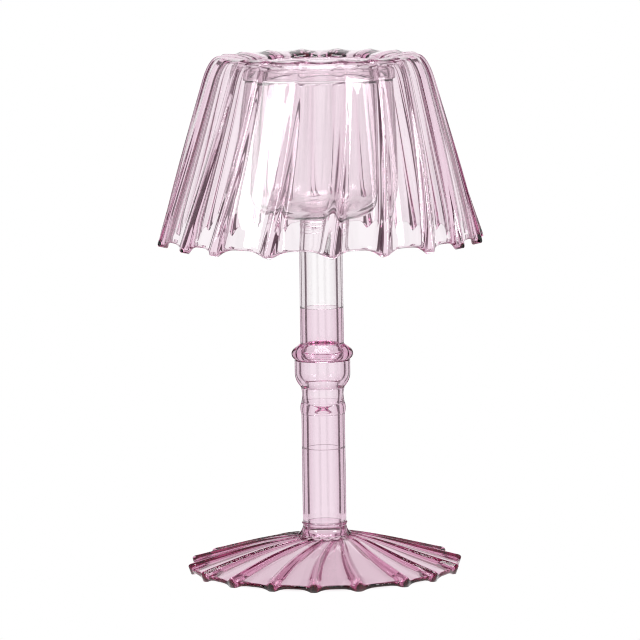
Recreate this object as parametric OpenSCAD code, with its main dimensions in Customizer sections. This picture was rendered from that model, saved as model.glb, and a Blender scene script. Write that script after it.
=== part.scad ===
// Tea light holder in the shape of a table lamp, made of tinted glass tube and blown, ribbed glass.
// Each separately made piece of glass is a module, and the pieces are welded end to end.
// The origin is on the table under the middle, +Z is up and the front faces -Y.

/* [Foot] */
// Radius of the foot at its edge, between the ribs
foot_r = 52.2; // [45:0.1:62]
// Height of the foot, from the table to the collar
foot_h = 14.6; // [14.4:0.1:18]
// Height of the domed part where it leaves the throat under the collar
dome_h = 13.9; // [12:0.1:14]
// Thickness of the foot's glass between the ribs
foot_wall = 1.8; // [1.4:0.1:2.4]
// Height of a rib above the glass at the foot's edge
foot_rib = 1.6; // [0.6:0.1:2.4]
// Angle that a rib of the foot sweeps, most of it close to the collar
foot_sweep = 26; // [0:1:30]
// How far the foot's glass sags at the end of each rib
foot_sag = 1.2; // [0.4:0.1:2.4]

/* [Shade] */
// Height of the shade, from its top fold to its lower edge between the ribs
shade_h = 70.3; // [50:0.1:80]
// Radius of the shade at its lower edge, between the ribs
shade_r = 61.4; // [56:0.1:72]
// Radius of the fold round the top opening
fold_r = 38.4; // [36:0.1:42]
// Height of the fold above the weld on the rim
fold_rise = 3.6; // [3:0.1:8]
// Radius of the shade just below its rounded shoulder
shoulder_r = 44.2; // [43:0.1:47]
// Drop from the fold to the end of the rounded shoulder
shoulder_drop = 9; // [7:0.1:14]
// Thickness of the shade's glass between the ribs
shade_wall = 1.8; // [1.4:0.1:2.4]
// Height of a rib above the glass at the shade's lower edge
shade_rib = 1.6; // [0.6:0.1:2.4]
// Angle that a rib of the shade sweeps from the rim to the lower edge
shade_sweep = 10; // [0:1:30]
// How far the shade's glass sags at the end of each rib
shade_sag = 2.4; // [1:0.1:4]

/* [Ribs] */
// Ribs round the foot, and as many round the shade
rib_count = 18; // [12:1:24]
// How far the drop at the end of each rib swells out beyond it
drop_swell = 1; // [0.2:0.1:1.6]

/* [Stem] */
// Radius of the stem's glass tube
tube_r = 8.6; // [7.8:0.1:10]
// Wall of the stem's glass tube
tube_wall = 1.8; // [1.4:0.1:2.4]
// Height of the collar that joins the stem to the foot
collar_h = 4.9; // [3:0.1:6]
// Radius of the collar at the foot
collar_r = 10.5; // [10.2:0.1:12]
// Length of the tube above the collar
lower_stem_h = 29.4; // [15:0.1:50]
// Length of the tube between that one and the bead
spacer_h = 13.6; // [8:0.1:25]
// Height of the bead below the knop
bead_h = 4.4; // [3:0.1:7]
// How far the bead stands out from the tube
bead_swell = 0.35; // [0.2:0.05:1.2]
// Height of the neck between the bead and the knop's bowl
neck_h = 6; // [4:0.1:10]
// How far the neck draws in at its waist
neck_waist = 0.4; // [0.2:0.1:0.8]
// Height of the knop's bowl
bowl_h = 10.9; // [8:0.1:16]
// Radius of the knop's bowl at its top
bowl_r = 11; // [10.2:0.1:13]
// Wall of the knop's bowl
bowl_wall = 1.6; // [1.2:0.1:2.2]
// Height of the ring round the knop
knop_ring_h = 6.6; // [5:0.1:9]
// Radius of the ring round the knop
knop_ring_r = 12.2; // [11:0.1:15]
// Length of the tube above the knop
knop_tube_h = 14.2; // [8:0.1:25]
// Length of the clear tube under the candle cup
upper_stem_h = 29.7; // [15:0.1:50]

/* [Candle cup] */
// Height of the flared weld between the stem and the cup
cup_neck_h = 6.3; // [5:0.1:10]
// Radius of that weld at the cup's bottom
cup_neck_r = 10.4; // [10:0.1:13]
// Outer radius of the candle cup
cup_r = 28.5; // [26:0.1:30]
// Height of the candle cup
cup_h = 54; // [40:0.1:60]
// Thickness of the candle cup's wall
cup_wall = 2; // [1.6:0.1:2.6]
// Thickness of the candle cup's floor
cup_floor = 2.6; // [2:0.1:4]
// Radius of the round corner under the candle cup
cup_corner = 12; // [8:0.1:14]
// Height of the rim ring on the cup
rim_h = 5.6; // [4:0.1:8]
// How far the rim ring stands out from the cup's wall
rim_swell = 2.7; // [2.4:0.1:4]
// How much wider the rim ring is inside than the cup
rim_relief = 0.5; // [0.2:0.1:0.8]

/* [Hidden] */
$fn = 96;

// Heights of the welds, each on top of the piece below it
collar_z = foot_h;
lower_stem_z = collar_z + collar_h;
spacer_z = lower_stem_z + lower_stem_h;
bead_z = spacer_z + spacer_h;
neck_z = bead_z + bead_h;
bowl_z = neck_z + neck_h;
knop_ring_z = bowl_z + bowl_h;
knop_tube_z = knop_ring_z + knop_ring_h;
upper_stem_z = knop_tube_z + knop_tube_h;
cup_neck_z = upper_stem_z + upper_stem_h;
cup_z = cup_neck_z + cup_neck_h;
rim_z = cup_z + cup_h;
shade_seat_z = rim_z + rim_h;

bore_r = tube_r - tube_wall;
cup_bore_r = cup_r - cup_wall;
rim_r = cup_r + rim_swell;

// Roundings and beads where two pieces of glass melt together
weld_round = 0.5;
weld_bead = 0.5;
rim_round = 1.6;

// The curved part of the knop's bowl ends at the tube's radius
bowl_bend_h = bowl_h * 0.56;
bowl_bend = (pow(bowl_r - tube_r, 2) + pow(bowl_bend_h, 2)) / (2 * (bowl_r - tube_r));
knop_ring_round = 2.5;

// A ribbed shell starts with a short straight stretch, so that its welded end is flat
weld_stub = 0.5;

// The shade's inner edge stands on the flat top of the rim ring
shade_seat_r = rim_r - rim_round - shade_wall / 2;
fold_z = shade_seat_z + fold_rise - shade_wall / 2;
shade_edge_z = shade_seat_z + fold_rise - shade_h;

// Points across one rib, as shares of the rib spacing, closer together on the ridge
rib_phases = [0, 0.12, 0.28, 0.5, 0.72, 0.88];
ridge_power = 2.4;
// Share of a rib that also stands out on the hidden side of the glass
back_share = 0.35;
// Share of a rib's full height that it has where it starts
start_share = 0.2;
// The foot's inner edge carries the collar
foot_seat_r = collar_r - foot_wall / 2 - start_share * foot_rib;
// The drops reach down past the table by the depth of the flats that they stand on
foot_flat = 0.4;
foot_edge_z = foot_sag + foot_wall / 2 + back_share * (foot_rib + drop_swell) - foot_flat;
// Share of the way along a rib at which the glass starts to sag
sag_start = 0.86;
// Where the ribs end, turned from the front
shade_rib_turn = 2.5;
foot_rib_turn = -3.5;
// The shade's ribs bend late, near its lower edge, and the foot's bend early, near the collar
shade_bend = [1.5, 1];
foot_bend = [1, 4];

function cubic(p, t) =
    pow(1 - t, 3) * p[0] + 3 * pow(1 - t, 2) * t * p[1] + 3 * (1 - t) * t * t * p[2] + pow(t, 3) * p[3];
function curve(p, steps) = [for (i = [0:steps - 1]) cubic(p, i / steps)];
function line(a, b, steps) = [for (i = [0:steps]) a + (b - a) * i / steps];
function smooth(t) = let (u = min(1, max(0, t))) u * u * (3 - 2 * u);

// Share of the path's length that lies before each of its points
function lengths(path) = [
    for (i = 0, s = 0; i < len(path); i = i + 1, s = s + (i < len(path) ? norm(path[i] - path[i - 1]) : 0)) s
];
function shares(path) = let (run = lengths(path)) [for (s = run) s / run[len(run) - 1]];

function along(path, i) =
    let (step = path[min(i + 1, len(path) - 1)] - path[max(i - 1, 0)]) step / norm(step);
function out_of(step) = [-step[1], step[0]];

function ridge(phase) = pow((1 + cos(360 * phase)) / 2, ridge_power);
function rib_height(t, rib) = rib * (start_share + (1 - start_share) * smooth(t));

// One ring of the shell: the glass's centre line moved along its normal and along itself
function ring(centre, step, side, past, sag, rib, angle) = [
    for (i = [0:rib_count - 1], phase = rib_phases)
        let (
            high = ridge(phase),
            lift = rib * high * (side < 0 ? back_share : 1),
            p = centre + out_of(step) * (side + sign(side) * lift) + step * past * (1 + high),
            a = angle + 360 * (i + phase) / rib_count
        )
        [p[0] * cos(a), p[0] * sin(a), p[1] - sag * high]
];

// A ribbed shell of glass swept along a path from its welded edge to its free, rounded edge
module ribbed_shell(path, wall, rib, sag, sweep, bend, turn) {
    t = shares(path);
    last = len(path) - 1;
    half = wall / 2;
    function angle(i) = turn - 90 + sweep * pow(1 - pow(t[i], bend[0]), bend[1]);
    function drop(i) = smooth((t[i] - sag_start) / (1 - sag_start));
    function half_ring(i, side, past) =
        ring(path[i], along(path, i), side, past, sag * drop(i), rib_height(t[i], rib) + drop_swell * drop(i), angle(i));
    rings = concat(
        [for (i = [0:last]) half_ring(i, half, 0)],
        [for (a = [45, 90, 135]) half_ring(last, half * cos(a), half * sin(a))],
        [for (i = [last:-1:0]) half_ring(i, -half, 0)]
    );
    around = rib_count * len(rib_phases);
    count = len(rings);
    points = [for (r = rings) each r];
    faces = [
        for (j = [0:count - 1], k = [0:around - 1])
            let (
                a = j * around + k,
                b = j * around + (k + 1) % around,
                c = (j + 1) % count * around + (k + 1) % around,
                d = (j + 1) % count * around + k
            )
            each [[a, b, c], [a, c, d]]
    ];
    polyhedron(points, faces, convexity = 6);
}

// Half of a turned solid with rounded outer corners
module rounded_strip(r, h, round) {
    square([r - round, h]);
    translate([0, round]) square([r, h - 2 * round]);
    for (z = [round, h - round]) translate([r - round, z]) circle(round);
}

// A length of tube whose outer ends are rounded where they melt into the next piece
module tube(r, h) {
    rotate_extrude()
        difference() {
            rounded_strip(r, h, weld_round);
            square([bore_r, h]);
        }
}

// A tube's outline that flares out to a wider foot, hollowed by one large round
module flare(r, h, flare_h) {
    reach = r - tube_r;
    bend = (pow(flare_h, 2) + pow(reach, 2)) / (2 * reach);
    difference() {
        square([r, flare_h]);
        translate([tube_r + bend, flare_h]) circle(bend, $fn = 200);
    }
    square([tube_r, h]);
}

// The inside or outside of the candle cup: straight walls on a round-cornered bottom
module cup_outline(r, corner, floor_z) {
    translate([0, floor_z]) square([r - corner, cup_h - floor_z]);
    translate([0, floor_z + corner]) square([r, cup_h - floor_z - corner]);
    translate([r - corner, floor_z + corner]) circle(corner);
}

// The inside or outside of the knop's bowl: a straight wall that curves in below
module bowl_outline(r, bend) {
    translate([0, bowl_bend_h]) square([r, bowl_h - bowl_bend_h]);
    intersection() {
        translate([r - bend, bowl_bend_h]) circle(bend);
        square([r, bowl_bend_h]);
    }
}

module foot() {
    seat = [foot_seat_r, foot_h];
    brow = [foot_seat_r + 3.2, dome_h - foot_wall / 2 - start_share * foot_rib];
    edge = [foot_r, foot_edge_z];
    stub = seat - [0, weld_stub];
    throat = [stub, [foot_seat_r, brow[1]], brow - [2.2, 0], brow];
    dome = [brow, brow + [14, -2.6], edge + [-14, 3.8], edge];
    color("#c3969f")
        difference() {
            ribbed_shell(
                concat([seat], curve(throat, 3), curve(dome, 7), [edge]),
                foot_wall, foot_rib, foot_sag, foot_sweep, foot_bend, foot_rib_turn
            );
            translate([-2 * foot_r, -2 * foot_r, -foot_h]) cube([4 * foot_r, 4 * foot_r, foot_h]);
        }
}

module foot_collar() {
    translate([0, 0, collar_z])
        color("#9a6c78")
            rotate_extrude()
                difference() {
                    union() {
                        flare(collar_r, collar_h, collar_h);
                        translate([tube_r - weld_bead / 2, collar_h - weld_bead]) circle(weld_bead);
                    }
                    square([bore_r, collar_h]);
                }
}

module lower_stem() {
    translate([0, 0, lower_stem_z]) color("#b98d98") tube(tube_r, lower_stem_h);
}

module stem_spacer() {
    translate([0, 0, spacer_z]) color("#c59aa3") tube(tube_r, spacer_h);
}

module stem_bead() {
    translate([0, 0, bead_z])
        color("#8f5f6d")
            rotate_extrude()
                difference() {
                    rounded_strip(tube_r + bead_swell, bead_h, bead_h * 0.4);
                    square([bore_r, bead_h]);
                }
}

module knop_neck() {
    waist_bend = (pow(neck_h / 2, 2) + pow(neck_waist, 2)) / (2 * neck_waist);
    translate([0, 0, neck_z])
        color("#b98d98")
            rotate_extrude()
                difference() {
                    square([tube_r, neck_h]);
                    square([bore_r, neck_h]);
                    translate([tube_r - neck_waist + waist_bend, neck_h / 2]) circle(waist_bend);
                }
}

module knop_bowl() {
    translate([0, 0, bowl_z])
        color("#a87683")
            rotate_extrude()
                difference() {
                    bowl_outline(bowl_r, bowl_bend);
                    bowl_outline(bowl_r - bowl_wall, bowl_bend - bowl_wall);
                    square([bore_r, bowl_h]);
                }
}

module knop_ring() {
    belly = [knop_ring_r - knop_ring_round, knop_ring_round];
    brow = belly + knop_ring_round * [cos(50), sin(50)];
    translate([0, 0, knop_ring_z])
        color("#8f5f6d")
            rotate_extrude()
                difference() {
                    union() {
                        translate(belly) circle(knop_ring_round);
                        polygon([[0, 0], [bowl_r, 0], belly, brow, [tube_r, knop_ring_h], [0, knop_ring_h]]);
                    }
                    polygon([[0, 0], [bowl_r - bowl_wall, 0], [bore_r, knop_ring_h], [0, knop_ring_h]]);
                }
}

module knop_tube() {
    translate([0, 0, knop_tube_z]) color("#c08d9b") tube(tube_r, knop_tube_h);
}

module upper_stem() {
    translate([0, 0, upper_stem_z]) color("#dcc9cd") tube(tube_r, upper_stem_h);
}

module cup_neck() {
    translate([0, 0, cup_z])
        color("#9a6c78")
            mirror([0, 0, 1])
                rotate_extrude()
                    difference() {
                        union() {
                            flare(cup_neck_r, cup_neck_h, cup_neck_h / 2);
                            translate([tube_r - weld_bead / 2, cup_neck_h / 2]) circle(weld_bead);
                        }
                        square([bore_r, cup_neck_h]);
                    }
}

module candle_cup() {
    translate([0, 0, cup_z])
        color("#cfaab2")
            rotate_extrude()
                difference() {
                    cup_outline(cup_r, cup_corner, 0);
                    cup_outline(cup_bore_r, cup_corner - cup_wall, cup_floor);
                }
}

module rim_ring() {
    translate([0, 0, rim_z])
        color("#8f5f6d")
            rotate_extrude()
                difference() {
                    rounded_strip(rim_r, rim_h, rim_round);
                    square([cup_bore_r + rim_relief, rim_h]);
                }
}

module shade() {
    seat = [shade_seat_r, shade_seat_z];
    crest = [fold_r, fold_z];
    shoulder = [shoulder_r, fold_z - shoulder_drop];
    edge = [shade_r, shade_edge_z];
    slope = (edge - shoulder) / norm(edge - shoulder);
    stub = seat + [0, weld_stub];
    funnel = [stub, stub + [0, 1.2], crest - [4.5, 0], crest];
    round = [crest, crest + [2.6, 0], shoulder - slope * 4.5, shoulder];
    color("#b98490")
        ribbed_shell(
            concat([seat], curve(funnel, 5), curve(round, 5), line(shoulder, edge, 7)),
            shade_wall, shade_rib, shade_sag, shade_sweep, shade_bend, shade_rib_turn
        );
}

foot();
foot_collar();
lower_stem();
stem_spacer();
stem_bead();
knop_neck();
knop_bowl();
knop_ring();
knop_tube();
upper_stem();
cup_neck();
candle_cup();
rim_ring();
shade();
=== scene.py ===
from math import cos, hypot, pi, radians, sin, sqrt

import bpy
from mathutils import Matrix, Vector


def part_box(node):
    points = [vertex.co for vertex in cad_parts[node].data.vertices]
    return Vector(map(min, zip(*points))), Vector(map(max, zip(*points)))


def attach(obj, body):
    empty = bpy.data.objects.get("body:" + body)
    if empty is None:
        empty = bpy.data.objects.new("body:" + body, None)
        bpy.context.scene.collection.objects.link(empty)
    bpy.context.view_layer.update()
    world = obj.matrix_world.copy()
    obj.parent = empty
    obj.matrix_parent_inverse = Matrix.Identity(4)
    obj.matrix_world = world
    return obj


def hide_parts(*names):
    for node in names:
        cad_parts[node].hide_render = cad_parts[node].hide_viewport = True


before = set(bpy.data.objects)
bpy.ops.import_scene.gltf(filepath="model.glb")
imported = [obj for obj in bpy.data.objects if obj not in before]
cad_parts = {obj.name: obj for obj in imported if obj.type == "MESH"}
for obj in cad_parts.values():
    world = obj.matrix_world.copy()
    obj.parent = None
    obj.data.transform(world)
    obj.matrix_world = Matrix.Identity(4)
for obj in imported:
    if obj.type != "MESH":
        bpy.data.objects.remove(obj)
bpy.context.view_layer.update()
mm = 0.001    # the pieces' sizes are in millimetres until a mesh is made
gap = 0.02    # left between two welded pieces, so that their faces never share a plane
print("frame loaded:", len(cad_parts), "nodes")


def nodeHeight(node):
    low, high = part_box(node)
    return low.z / mm, high.z / mm


# Outlines are lists of (radius, height) points; bezier and straight leave out their last one

def bezier(a, b, c, d, steps):
    points = []
    for i in range(steps):
        t = i / steps
        s = 1 - t
        points.append(tuple(
            s ** 3 * a[n] + 3 * s * s * t * b[n] + 3 * s * t * t * c[n] + t ** 3 * d[n] for n in (0, 1)
        ))
    return points


def straight(a, b, steps):
    return [(a[0] + (b[0] - a[0]) * i / steps, a[1] + (b[1] - a[1]) * i / steps) for i in range(steps)]


def arc(centre, radius, start, end, steps):
    turns = [radians(start + (end - start) * i / steps) for i in range(steps + 1)]
    return [(centre[0] + radius * cos(a), centre[1] + radius * sin(a)) for a in turns]


def smooth(t):
    t = min(1.0, max(0.0, t))
    return t * t * (3 - 2 * t)


# Rounds the corners of a closed outline whose points are (radius, height, round)
def roundCorners(corners, steps=5):
    points = []
    count = len(corners)
    for i, (x, y, bend) in enumerate(corners):
        if bend == 0:
            points.append((x, y))
            continue
        before, after = corners[i - 1], corners[(i + 1) % count]
        inward = [(before[0] - x), (before[1] - y)]
        onward = [(after[0] - x), (after[1] - y)]
        inLength, outLength = hypot(*inward), hypot(*onward)
        u = [v / inLength for v in inward]
        w = [v / outLength for v in onward]
        half = sqrt(max(1e-9, (1 + u[0] * w[0] + u[1] * w[1]) / 2))    # cosine of half the corner's angle
        reach = min(bend * half / sqrt(max(1e-9, 1 - half * half)), 0.45 * inLength, 0.45 * outLength)
        for k in range(steps + 1):
            t = k / steps
            s = 1 - t
            points.append((
                x + reach * (s * s * u[0] + t * t * w[0]),
                y + reach * (s * s * u[1] + t * t * w[1]),
            ))
    return points


# Adds points along the straight stretches, close together near their ends
def addSteps(outline, step, nearEnd=0.12):
    points = []
    count = len(outline)
    for i, a in enumerate(outline):
        b = outline[(i + 1) % count]
        length = hypot(b[0] - a[0], b[1] - a[1])
        points.append(a)
        if length < 4 * nearEnd or (a[0] == 0 and b[0] == 0):
            continue
        inner = max(1, round((length - 2 * nearEnd) / step))
        for k in range(inner + 1):
            t = (nearEnd + (length - 2 * nearEnd) * k / inner) / length
            points.append((a[0] + (b[0] - a[0]) * t, a[1] + (b[1] - a[1]) * t))
    return points


# Turns a closed outline round the axis; wobble gives how far the glass is off round at an angle and height
def turned(outline, segments, wobble=None):
    verts, faces, rings = [], [], []
    for r, z in outline:
        if r < 1e-6:
            rings.append([len(verts)])
            verts.append((0, 0, z))
            continue
        rings.append(list(range(len(verts), len(verts) + segments)))
        for k in range(segments):
            a = 2 * pi * k / segments
            off = wobble(a, z) if wobble else 0
            verts.append(((r + off) * cos(a), (r + off) * sin(a), z))
    count = len(rings)
    for i in range(count):
        low, high = rings[i], rings[(i + 1) % count]
        if len(low) == 1 and len(high) == 1:
            continue
        for k in range(segments):
            n = (k + 1) % segments
            if len(low) == 1:
                faces.append((low[0], high[n], high[k]))
            elif len(high) == 1:
                faces.append((low[k], low[n], high[0]))
            else:
                faces.append((low[k], low[n], high[n], high[k]))
    return verts, faces


# Glass

glassLook = {
    "ior": 1.47,
    "roughness": 0.0,
    "wave": 0.012,           # depth of the hand-worked surface's waves, in millimetres
    "waveLength": 9.0,       # their length, in millimetres
    "waveDetail": 1.5,
    "drawn": 0.25,           # their scale along the axis, so they are four times longer there
    "edgeShadeFrom": 0.10,        # Layer Weight's facing where the painted shade on the glass starts
    "edgeShadeTo": 0.62,          # and where the painted shade is darkest
    # painted shade: the colour the glass is darkened to where it is seen at a grazing angle
    "paintedEdgeShade": (0.70, 0.62, 0.66, 1),
    "faceColour": (1, 1, 1, 1),
}


# wave and edge say how strong the waves and the painted shade at the glass's grazing edges are
def makeGlass(name, absorbed, wave=1.0, edge=1.0):
    look = glassLook
    material = bpy.data.materials.new(name)
    material.use_nodes = True
    nodes, links = material.node_tree.nodes, material.node_tree.links
    shader = nodes["Principled BSDF"]
    output = nodes["Material Output"]
    shader.inputs["Transmission Weight"].default_value = 1
    shader.inputs["IOR"].default_value = look["ior"]
    shader.inputs["Roughness"].default_value = look["roughness"]

    where = nodes.new("ShaderNodeTexCoord")
    stretch = nodes.new("ShaderNodeMapping")
    stretch.inputs["Scale"].default_value = (1, 1, look["drawn"])
    ripple = nodes.new("ShaderNodeTexNoise")
    ripple.inputs["Scale"].default_value = 1 / (look["waveLength"] * mm)
    ripple.inputs["Detail"].default_value = look["waveDetail"]
    bump = nodes.new("ShaderNodeBump")
    bump.inputs["Strength"].default_value = 1
    bump.inputs["Distance"].default_value = look["wave"] * wave * mm
    links.new(where.outputs["Object"], stretch.inputs["Vector"])
    links.new(stretch.outputs["Vector"], ripple.inputs["Vector"])
    links.new(ripple.outputs["Fac"], bump.inputs["Height"])
    links.new(bump.outputs["Normal"], shader.inputs["Normal"])

    # painted shade: the glass's base colour is darkened where it is seen along its wall, standing in for
    # shade at grazing angles
    facing = nodes.new("ShaderNodeLayerWeight")
    span = nodes.new("ShaderNodeMapRange")
    span.interpolation_type = "SMOOTHSTEP"
    span.inputs["From Min"].default_value = look["edgeShadeFrom"]
    span.inputs["From Max"].default_value = look["edgeShadeTo"]
    span.inputs["To Max"].default_value = edge
    paintedShadeMix = nodes.new("ShaderNodeMix")
    paintedShadeMix.data_type = "RGBA"
    paintedShadeMix.inputs["A"].default_value = look["faceColour"]
    paintedShadeMix.inputs["B"].default_value = look["paintedEdgeShade"]
    links.new(facing.outputs["Facing"], span.inputs["Value"])
    links.new(span.outputs["Result"], paintedShadeMix.inputs["Factor"])
    links.new(paintedShadeMix.outputs["Result"], shader.inputs["Base Color"])

    body = nodes.new("ShaderNodeVolumeAbsorption")
    density = max(absorbed)
    body.inputs["Density"].default_value = density / mm
    body.inputs["Color"].default_value = tuple(1 - c / density for c in absorbed) + (1,)
    links.new(body.outputs["Volume"], output.inputs["Volume"])
    return material


# absorbed is the share of red, green and blue light lost in each millimetre of glass
roseTube = makeGlass("rose_tube", absorbed=(0.030, 0.084, 0.052))
paleTube = makeGlass("pale_tube", absorbed=(0.006, 0.014, 0.010))
roseWeld = makeGlass("rose_weld", absorbed=(0.045, 0.130, 0.080))
paleCup = makeGlass("pale_cup", absorbed=(0.010, 0.020, 0.015))
roseFoot = makeGlass("rose_foot", absorbed=(0.055, 0.165, 0.105), wave=0.3, edge=0)
roseShade = makeGlass("rose_shade", absorbed=(0.024, 0.070, 0.044), wave=0.3, edge=0)
print("glass materials:", len(bpy.data.materials))


def addPiece(name, node, verts, faces, material, slot):
    mesh = bpy.data.meshes.new(name)
    mesh.from_pydata([(x * mm, y * mm, z * mm) for x, y, z in verts], [], faces)
    mesh.polygons.foreach_set("use_smooth", [True] * len(mesh.polygons))
    mesh.materials.append(material)
    mesh.update()
    piece = bpy.data.objects.new(name, mesh)
    bpy.context.scene.collection.objects.link(piece)
    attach(piece, "root")
    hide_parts(node)
    return piece


# Turned pieces of the stem, from the foot up

stem = {
    "tubeRadius": 8.6,
    "bore": 6.8,
    "weldRound": 0.1,
    "segments": 128,
    "step": 0.9,
    "fineStep": 0.6,
}


# waves are (depth, turns, start) of how far the tube is off round
def addTube(name, node, material, slot, waves=()):
    low, high = nodeHeight(node)
    r, bore, bend = stem["tubeRadius"], stem["bore"], stem["weldRound"]
    corners = [
        (bore, low + gap, bend / 2), (r, low + gap, bend),
        (r, high - gap, bend), (bore, high - gap, bend / 2),
    ]
    outline = addSteps(roundCorners(corners), stem["step"])

    def wobble(a, z):
        return sum(depth * cos(turns * a + start) * sin(pi * (z - low) / (high - low))
                   for depth, turns, start in waves)

    return addPiece(name, node, *turned(outline, stem["segments"], wobble), material, slot)


collar = {
    "radius": 10.5,
    "hollow": 0.8,        # share of the flare that is drawn in
    "hollowAt": 0.25,     # heights of the flare's bends, as shares
    "straightAt": 0.5,
    "seam": 0.5,
    "seamIn": 0.1,
    "seamBelow": 0.9,
}


def addCollar():
    low, high = nodeHeight("foot_collar")
    r, bore, reach = stem["tubeRadius"], stem["bore"], collar["radius"] - stem["tubeRadius"]
    height = high - low
    flank = bezier(
        (collar["radius"], low + gap),
        (collar["radius"] - collar["hollow"] * reach, low + collar["hollowAt"] * height),
        (r, low + collar["straightAt"] * height), (r, high - collar["seamBelow"]), 14,
    )
    seam = arc((r - collar["seamIn"], high - collar["seam"]), collar["seam"], -40, 60, 8)
    outline = [(bore, low + gap)] + flank + seam + [(bore, high - gap)]
    return addPiece(
        "foot_collar_weld", "foot_collar", *turned(addSteps(outline, stem["fineStep"]), stem["segments"]),
        roseWeld, "rose_glass_weld",
    )


bead = {"swell": 0.35, "pull": 1.4, "reach": 1.0}


def addBead():
    low, high = nodeHeight("stem_bead")
    r, bore = stem["tubeRadius"], stem["bore"]
    pull = r + bead["swell"] * bead["pull"]
    reach = bead["reach"]
    flank = bezier((r, low + gap), (pull, low + reach), (pull, high - reach), (r, high - gap), 16)
    outline = [(bore, low + gap)] + flank + [(r, high - gap), (bore, high - gap)]
    return addPiece(
        "stem_bead_weld", "stem_bead", *turned(addSteps(outline, stem["fineStep"]), stem["segments"]),
        roseTube, "rose_glass_weld",
    )


neck = {"waist": 0.4, "pull": 1.33, "reach": 0.35}


def addNeck():
    low, high = nodeHeight("knop_neck")
    r, bore = stem["tubeRadius"], stem["bore"]
    height = high - low
    pull = r - neck["waist"] * neck["pull"]
    reach = height * neck["reach"]
    flank = bezier((r, low + gap), (pull, low + reach), (pull, high - reach), (r, high - gap), 14)
    outline = [(bore, low + gap)] + flank + [(r, high - gap), (bore, high - gap)]
    return addPiece(
        "knop_neck_tube", "knop_neck", *turned(addSteps(outline, stem["fineStep"]), stem["segments"]),
        roseTube, "rose_glass_tube",
    )


bowl = {
    "radius": 11.0,
    "wall": 1.6,
    "bend": 6.1,          # height where its side turns upright
    "flare": 1.3,
    "flareUp": 1.7,
    "cheek": 3.0,
    "innerUp": 2.4,
    "innerCheek": 2.6,
    "innerFloor": 0.8,
}


def addBowl():
    low, high = nodeHeight("knop_bowl")
    r, bore, wide = stem["tubeRadius"], stem["bore"], bowl["radius"]
    bend = low + bowl["bend"]
    outer = bezier((r, low + gap), (r + bowl["flare"], low + bowl["flareUp"]), (wide, bend - bowl["cheek"]),
                   (wide, bend), 16)
    inside = wide - bowl["wall"]
    inner = bezier((inside, bend), (inside, bend - bowl["innerCheek"]),
                   (bore + bowl["flare"], low + bowl["innerUp"]), (bore, low + bowl["innerFloor"]), 16)
    outline = [(bore, low + gap)] + outer + straight((wide, bend), (wide, high - gap), 6)
    outline += [(wide, high - gap), (inside, high - gap)] + inner + [(bore, low + bowl["innerFloor"])]
    return addPiece(
        "knop_bowl_blown", "knop_bowl", *turned(addSteps(outline, stem["fineStep"]), stem["segments"]),
        roseTube, "rose_glass_tube",
    )


ring = {
    "radius": 12.2,
    "belly": 2.5,
    "bellyFrom": -80,     # degrees round the belly, from its widest place
    "brow": 50,
    "browOut": 0.2,
    "browDown": 0.25,
    "step": 0.5,
}


def addRing():
    low, high = nodeHeight("knop_ring")
    r, bore = stem["tubeRadius"], stem["bore"]
    centre = (ring["radius"] - ring["belly"], low + ring["belly"])
    belly = arc(centre, ring["belly"], ring["bellyFrom"], ring["brow"], 22)
    outline = [(bowl["radius"] - bowl["wall"], low + gap)] + belly
    outline += [(r + ring["browOut"], high - ring["browDown"]), (r, high - gap), (bore, high - gap)]
    return addPiece(
        "knop_ring_weld", "knop_ring", *turned(addSteps(outline, ring["step"]), stem["segments"]),
        roseTube, "rose_glass_weld",
    )


# The weld under the cup, the cup and its rim

cupNeck = {
    "radius": 10.4,
    "seam": 0.5,
    "seamIn": 0.1,
    "flareFrom": 0.55,    # above the seam's middle
    "flareUp": 1.6,
    "flareIn": 0.9,
    "flareDown": 0.7,
}


def addCupNeck():
    low, high = nodeHeight("cup_neck")
    r, bore = stem["tubeRadius"], stem["bore"]
    waist = low + (high - low) / 2
    seam, wide = cupNeck["seam"], cupNeck["radius"]
    outline = [(bore, low + gap), (r, low + gap)] + straight((r, low + gap), (r, waist - seam), 4)[1:]
    outline += arc((r - cupNeck["seamIn"], waist), seam, -60, 60, 8)
    outline += bezier((r, waist + cupNeck["flareFrom"]), (r, waist + cupNeck["flareUp"]),
                      (wide - cupNeck["flareIn"], high - cupNeck["flareDown"]), (wide, high - gap), 12)[1:]
    outline += [(wide, high - gap), (bore, high - gap)]
    return addPiece(
        "cup_neck_weld", "cup_neck", *turned(addSteps(outline, stem["fineStep"]), stem["segments"]),
        paleTube, "rose_glass_weld",
    )


cup = {
    "radius": 28.5,
    "wall": 2.0,
    "floor": 2.6,
    "corner": 12.0,
    "segments": 192,
}


def addCup():
    low, high = nodeHeight("candle_cup")
    low += gap
    top = high - gap
    r, wall, corner = cup["radius"], cup["wall"], cup["corner"]
    inside = r - wall
    bend = corner - wall
    floorZ = low + cup["floor"]
    outer = straight((0, low), (r - corner, low), 10)
    outer += arc((r - corner, low + corner), corner, -90, 0, 22)
    outer += straight((r, low + corner), (r, top), 28)[1:] + [(r, top)]
    inner = straight((inside, top), (inside, floorZ + bend), 28)
    inner += arc((inside - bend, floorZ + bend), bend, 0, -90, 20)
    inner += straight((inside - bend, floorZ), (0, floorZ), 10)[1:] + [(0, floorZ)]
    return addPiece(
        "candle_cup_blown", "candle_cup", *turned(outer + inner, cup["segments"]),
        paleCup, "pale_glass_cup",
    )


rim = {"radius": 31.2, "inside": 27.0, "round": 1.6, "insideRound": 0.6, "lipRound": 0.8}


def addRim():
    low, high = nodeHeight("rim_ring")
    corners = [
        (rim["inside"], low + gap, rim["insideRound"]), (rim["radius"], low + gap, rim["round"]),
        (rim["radius"], high - gap, rim["round"]), (rim["inside"], high - gap, rim["lipRound"]),
    ]
    outline = addSteps(roundCorners(corners, 8), stem["fineStep"])
    return addPiece(
        "rim_ring_weld", "rim_ring", *turned(outline, cup["segments"]),
        paleCup, "pale_glass_cup",
    )


# Ribbed glass: the shade and the foot

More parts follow.
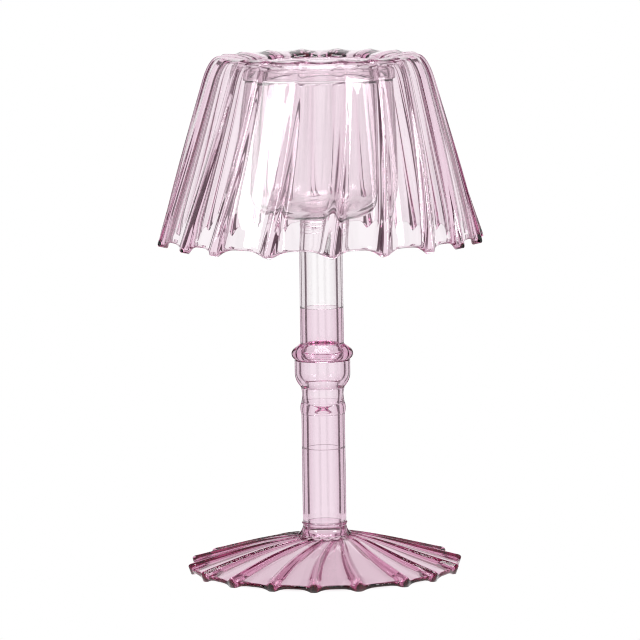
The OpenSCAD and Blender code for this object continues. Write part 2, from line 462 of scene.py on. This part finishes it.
ridgePower = 9       # a high power makes the rib narrow
sagPower = 2.2       # and the drop at its end is wider
backShare = 0.2      # share of a rib that stands out on the back of the wall
startShare = 0.2     # share of a rib's height where it starts
sagStart = 0.86      # share of the way out where the drops start
perRib = 28          # points from one rib to the next
crowding = 0.7       # how much closer they lie on the rib
edgeSteps = 8        # steps round the free edge


# Rises to 1 on the rib and falls to 0 between two ribs
def ridge(phase, power):
    return ((1 + cos(2 * pi * phase)) / 2) ** power


# Moves the points across a rib closer to its crest
def crowded(phase):
    return phase - crowding * sin(2 * pi * phase) / (2 * pi)


# One ribbed shell; drops are the angles of its ribs' ends from the front, in degrees
def ribbedShell(path, piece):
    runs = [0.0]
    for a, b in zip(path, path[1:]):
        runs.append(runs[-1] + hypot(b[0] - a[0], b[1] - a[1]))
    drops = piece["drops"]
    count = len(path)
    ribs = len(drops)
    half = piece["wall"] / 2
    verts = []
    loops = 0

    def addLoop(i, side, past):
        nonlocal loops
        t = runs[i] / runs[-1]
        drop = smooth((t - sagStart) / (1 - sagStart))
        a, b = path[max(i - 1, 0)], path[min(i + 1, count - 1)]
        length = hypot(b[0] - a[0], b[1] - a[1])
        step = ((b[0] - a[0]) / length, (b[1] - a[1]) / length)
        out = (-step[1], step[0])
        rib = piece["rib"] * (startShare + (1 - startShare) * smooth(t)) + piece["dropSwell"] * drop
        turn = piece["sweep"] * (1 - t ** piece["bend"][0]) ** piece["bend"][1]
        for k in range(ribs):
            here = drops[k]
            there = drops[(k + 1) % ribs] + (360 if k == ribs - 1 else 0)
            for j in range(perRib):
                phase = crowded(j / perRib)
                high = ridge(phase, ridgePower)
                flute = piece["flute"] * ridge(phase, 1)
                lift = rib * high * (backShare if side < 0 else 1) + (flute if side > 0 else 0)
                sign = (side > 0) - (side < 0)
                r = path[i][0] + out[0] * (side + sign * lift) + step[0] * past * (1 + high)
                z = path[i][1] + out[1] * (side + sign * lift) + step[1] * past * (1 + high)
                angle = radians(here + (there - here) * phase + turn - 90)
                z -= piece["sag"] * drop * ridge(phase, sagPower)
                verts.append((r * cos(angle), r * sin(angle), max(z, piece["lowest"])))
        loops += 1

    for i in range(count):
        addLoop(i, half, 0)
    for k in range(1, edgeSteps):
        a = pi * k / edgeSteps
        addLoop(count - 1, half * cos(a), half * sin(a))
    for i in range(count - 1, -1, -1):
        addLoop(i, -half, 0)

    faces = []
    around = ribs * perRib
    for j in range(loops):
        low = j * around
        high = (j + 1) % loops * around
        for k in range(around):
            n = (k + 1) % around
            faces.append((low + k, high + k, high + n, low + n))
    return verts, faces


shade = {
    "foldRadius": 38.4,
    "foldRise": 3.6,
    "shoulderRadius": 44.2,
    "shoulderDrop": 9.0,
    "edgeRadius": 61.4,
    "height": 70.3,
    "wall": 1.3,
    "flute": 0.45,
    "rib": 1.2,
    "sag": 2.4,
    "dropSwell": 1.0,
    "sweep": 10,
    "bend": (1.5, 1),
    "lowest": -1000,      # no floor to its drops
    "stub": 0.5,          # upright stretch on the rim, and pulls of the fold's curves
    "foldUp": 1.2,
    "foldIn": 4.5,
    "foldOut": 2.6,
    "shoulderUp": 4.5,
    "drops": [-80, -57, -41, -19, 4, 23, 42, 59, 77, 97, 117, 138, 159, 180, 201, 222, 241, 260],
}


def addShade():
    seatZ = nodeHeight("rim_ring")[1] + gap
    half = shade["wall"] / 2
    seat = (rim["radius"] - rim["round"] - half, seatZ)
    crest = (shade["foldRadius"], seatZ + shade["foldRise"] - half - shade["flute"])
    shoulder = (shade["shoulderRadius"], crest[1] - shade["shoulderDrop"])
    edge = (shade["edgeRadius"], seatZ + shade["foldRise"] - shade["height"])
    length = hypot(edge[0] - shoulder[0], edge[1] - shoulder[1])
    slope = ((edge[0] - shoulder[0]) / length, (edge[1] - shoulder[1]) / length)
    stub = (seat[0], seatZ + shade["stub"])
    up = shade["shoulderUp"]
    path = straight(seat, stub, 3)
    path += bezier(stub, (stub[0], stub[1] + shade["foldUp"]),
                   (crest[0] - shade["foldIn"], crest[1]), crest, 12)
    path += bezier(crest, (crest[0] + shade["foldOut"], crest[1]),
                   (shoulder[0] - slope[0] * up, shoulder[1] - slope[1] * up), shoulder, 14)
    path += straight(shoulder, edge, 40) + [edge]
    return addPiece("shade_ribbed", "shade", *ribbedShell(path, shade), roseShade, "rose_glass_shade")


foot = {
    "edgeRadius": 52.2,
    "domeHeight": 13.9,
    "wall": 1.6,
    "flute": 0.3,
    "rib": 1.4,
    "sag": 1.0,
    "dropSwell": 1.0,
    "sweep": 26,
    "bend": (1, 4),
    "flat": 0.4,          # the drops are pressed flat by this much
    "lowest": 0.0,
    "stub": 0.5,          # upright stretch under the collar, and pulls of the dome's curves
    "browOut": 3.2,
    "browIn": 2.2,
    "domeReach": 14,
    "domeDown": 2.6,
    "edgeUp": 3.8,
    "drops": [-104, -83, -63, -43, -23, -5, 14, 36, 53, 74, 97, 118, 137, 157, 177, 197, 217, 236],
}


def addFoot():
    half = foot["wall"] / 2
    seatRadius = collar["radius"] - half - startShare * foot["rib"]
    top = nodeHeight("foot")[1] - gap
    seat = (seatRadius, top)
    stub = (seatRadius, top - foot["stub"])
    brow = (seatRadius + foot["browOut"], foot["domeHeight"] - half - startShare * foot["rib"])
    edgeZ = foot["sag"] + half + backShare * (foot["rib"] + foot["dropSwell"]) - foot["flat"]
    edge = (foot["edgeRadius"], edgeZ)
    reach = foot["domeReach"]
    path = straight(seat, stub, 3)
    path += bezier(stub, (seatRadius, brow[1]), (brow[0] - foot["browIn"], brow[1]), brow, 8)
    path += bezier(brow, (brow[0] + reach, brow[1] - foot["domeDown"]),
                   (edge[0] - reach, edge[1] + foot["edgeUp"]), edge, 44) + [edge]
    return addPiece("foot_ribbed", "foot", *ribbedShell(path, foot), roseFoot, "rose_glass_foot")


addFoot()
addCollar()
addTube("lower_stem_tube", "lower_stem", roseTube, "rose_glass_tube", [(0.05, 2, 0.6)])
addTube("stem_spacer_tube", "stem_spacer", roseTube, "rose_glass_tube", [(0.05, 2, 2.0)])
addBead()
addNeck()
addBowl()
addRing()
addTube("knop_tube_drawn", "knop_tube", roseTube, "rose_glass_tube", [(0.04, 2, 1.0)])
addTube("upper_stem_tube", "upper_stem", paleTube, "pale_glass_tube", [(0.05, 2, 2.4)])
addCupNeck()
addCup()
addRim()
addShade()


# Stage, light and camera

stage = {
    "floorRadius": 0.14,    # in metres, as are the next three
    "below": 0.00002,
    "shadeFrom": 0.044,
    "shadeTo": 0.052,
    "shadeColour": (0.80, 0.73, 0.76, 1),
    "floorLight": 1.0,
    "segments": 96,
}


def addFloor():
    material = bpy.data.materials.new("white_floor")
    material.use_nodes = True
    nodes, links = material.node_tree.nodes, material.node_tree.links
    nodes.remove(nodes["Principled BSDF"])
    glow = nodes.new("ShaderNodeEmission")
    glow.inputs["Strength"].default_value = stage["floorLight"]

    # under the foot the table gets less light, and what it gets is tinted
    where = nodes.new("ShaderNodeTexCoord")
    reach = nodes.new("ShaderNodeVectorMath")
    reach.operation = "LENGTH"
    span = nodes.new("ShaderNodeMapRange")
    span.interpolation_type = "SMOOTHSTEP"
    span.inputs["From Min"].default_value = stage["shadeFrom"]
    span.inputs["From Max"].default_value = stage["shadeTo"]
    shadeColour = nodes.new("ShaderNodeMix")
    shadeColour.data_type = "RGBA"
    shadeColour.inputs["A"].default_value = stage["shadeColour"]
    shadeColour.inputs["B"].default_value = (1, 1, 1, 1)
    links.new(where.outputs["Object"], reach.inputs[0])
    links.new(reach.outputs["Value"], span.inputs["Value"])
    links.new(span.outputs["Result"], shadeColour.inputs["Factor"])
    links.new(shadeColour.outputs["Result"], glow.inputs["Color"])
    links.new(glow.outputs["Emission"], nodes["Material Output"].inputs["Surface"])
    mesh = bpy.data.meshes.new("floor")
    wide, count = stage["floorRadius"], stage["segments"]
    turns = [2 * pi * k / count for k in range(count)]
    corners = [(wide * cos(a), wide * sin(a), -stage["below"]) for a in turns]
    mesh.from_pydata(corners, [], [list(range(count))])
    mesh.materials.append(material)
    floor = bpy.data.objects.new("floor", mesh)
    bpy.context.scene.collection.objects.link(floor)


sky = {
    "white": 1.0,
    "above": 0.65,
    "whiteUpTo": 25,      # degrees above the horizon
    "aboveFrom": 55,      # and the soft panel overhead starts here
    "panels": 8,          # white panels round the object, with a dark gap between each two
    "gapFrom": 0.45,      # cosines across a gap, where it starts and where it is darkest
    "gapTo": 0.75,
    "gapLight": 0.1,
    "gapColour": (1.0, 0.55, 0.75, 1),
}


# Eight tall white panels stand round the object and one soft panel hangs over it
def addSky():
    world = bpy.data.worlds.new("studio")
    world.use_nodes = True
    bpy.context.scene.world = world
    nodes, links = world.node_tree.nodes, world.node_tree.links

    def joined(kind, source, **values):
        node = nodes.new(kind)
        for key, value in values.items():
            setattr(node, key, value)
        links.new(source, node.inputs[0])
        return node

    def spanned(source, low, high, first, last):
        span = joined("ShaderNodeMapRange", source, interpolation_type="SMOOTHSTEP")
        for name, value in (("From Min", low), ("From Max", high), ("To Min", first), ("To Max", last)):
            span.inputs[name].default_value = value
        return span.outputs["Result"]

    where = nodes.new("ShaderNodeTexCoord")
    split = joined("ShaderNodeSeparateXYZ", where.outputs["Generated"])
    turn = joined("ShaderNodeMath", split.outputs["Y"], operation="ARCTAN2")
    links.new(split.outputs["X"], turn.inputs[1])
    times = joined("ShaderNodeMath", turn.outputs[0], operation="MULTIPLY")
    times.inputs[1].default_value = sky["panels"]
    wave = joined("ShaderNodeMath", times.outputs[0], operation="COSINE")
    away = joined("ShaderNodeMath", wave.outputs[0], operation="MULTIPLY")
    away.inputs[1].default_value = -1
    gaps = spanned(away.outputs[0], sky["gapFrom"], sky["gapTo"], 1, sky["gapLight"])
    low, high = sin(radians(sky["whiteUpTo"])), sin(radians(sky["aboveFrom"]))
    up = spanned(split.outputs["Z"], low, high, 0, 1)
    mixed = nodes.new("ShaderNodeMix")
    links.new(up, mixed.inputs["Factor"])
    links.new(gaps, mixed.inputs["A"])
    mixed.inputs["B"].default_value = sky["above"]
    path = nodes.new("ShaderNodeLightPath")
    seen = nodes.new("ShaderNodeMix")
    links.new(path.outputs["Is Camera Ray"], seen.inputs["Factor"])
    links.new(mixed.outputs["Result"], seen.inputs["A"])
    seen.inputs["B"].default_value = sky["white"]
    links.new(seen.outputs["Result"], nodes["Background"].inputs["Strength"])
    colour = nodes.new("ShaderNodeMix")
    colour.data_type = "RGBA"
    links.new(seen.outputs["Result"], colour.inputs["Factor"])
    colour.inputs["A"].default_value = sky["gapColour"]
    colour.inputs["B"].default_value = (1, 1, 1, 1)
    links.new(colour.outputs["Result"], nodes["Background"].inputs["Color"])


aimHeight = 0.1    # the lamps are in metres and aim at this height

lamps = {
    "overhead": {"at": (0.0, -0.1, 1.3), "size": 0.7, "power": 12},
    "left": {"at": (-0.9, -0.7, 0.7), "size": 0.3, "power": 3},
    "right": {"at": (0.9, -0.6, 0.7), "size": 0.3, "power": 4},
}


def addLamps():
    for name, lamp in lamps.items():
        light = bpy.data.lights.new(name, "AREA")
        light.size = lamp["size"]
        light.energy = lamp["power"]
        holder = bpy.data.objects.new(name, light)
        holder.location = lamp["at"]
        bpy.context.scene.collection.objects.link(holder)
        target = (-lamp["at"][0], -lamp["at"][1], aimHeight - lamp["at"][2])
        holder.rotation_euler = Vector(target).to_track_quat("-Z", "Y").to_euler()


view = {
    "distance": 1830.0,
    "height": 317.0,
    "tilt": 83.221,
    "roll": -0.83,
    "shift": -0.0028,
    "lens": 263.28,
    "sensor": 36,
    "near": 0.1,      # metres
    "far": 100,
}


def addCamera():
    data = bpy.data.cameras.new("camera")
    data.lens = view["lens"]
    data.sensor_width = view["sensor"]
    data.clip_start = view["near"]
    data.clip_end = view["far"]
    camera = bpy.data.objects.new("camera", data)
    camera.location = (0, -view["distance"] * mm, view["height"] * mm)
    turn = Matrix.Rotation(radians(view["tilt"]), 4, "X") @ Matrix.Rotation(radians(view["roll"]), 4, "Z")
    camera.rotation_euler = turn.to_euler()
    data.shift_x = view["shift"]
    bpy.context.scene.collection.objects.link(camera)
    bpy.context.scene.camera = camera


addFloor()
addSky()
addLamps()
addCamera()
bpy.context.scene.view_settings.view_transform = "Standard"

# a ray crosses many walls of glass here
bpy.context.scene.cycles.max_bounces = 40
bpy.context.scene.cycles.transmission_bounces = 40
bpy.context.scene.cycles.glossy_bounces = 12
bpy.context.scene.cycles.filter_width = 1.1
print("stage, light and camera ready")
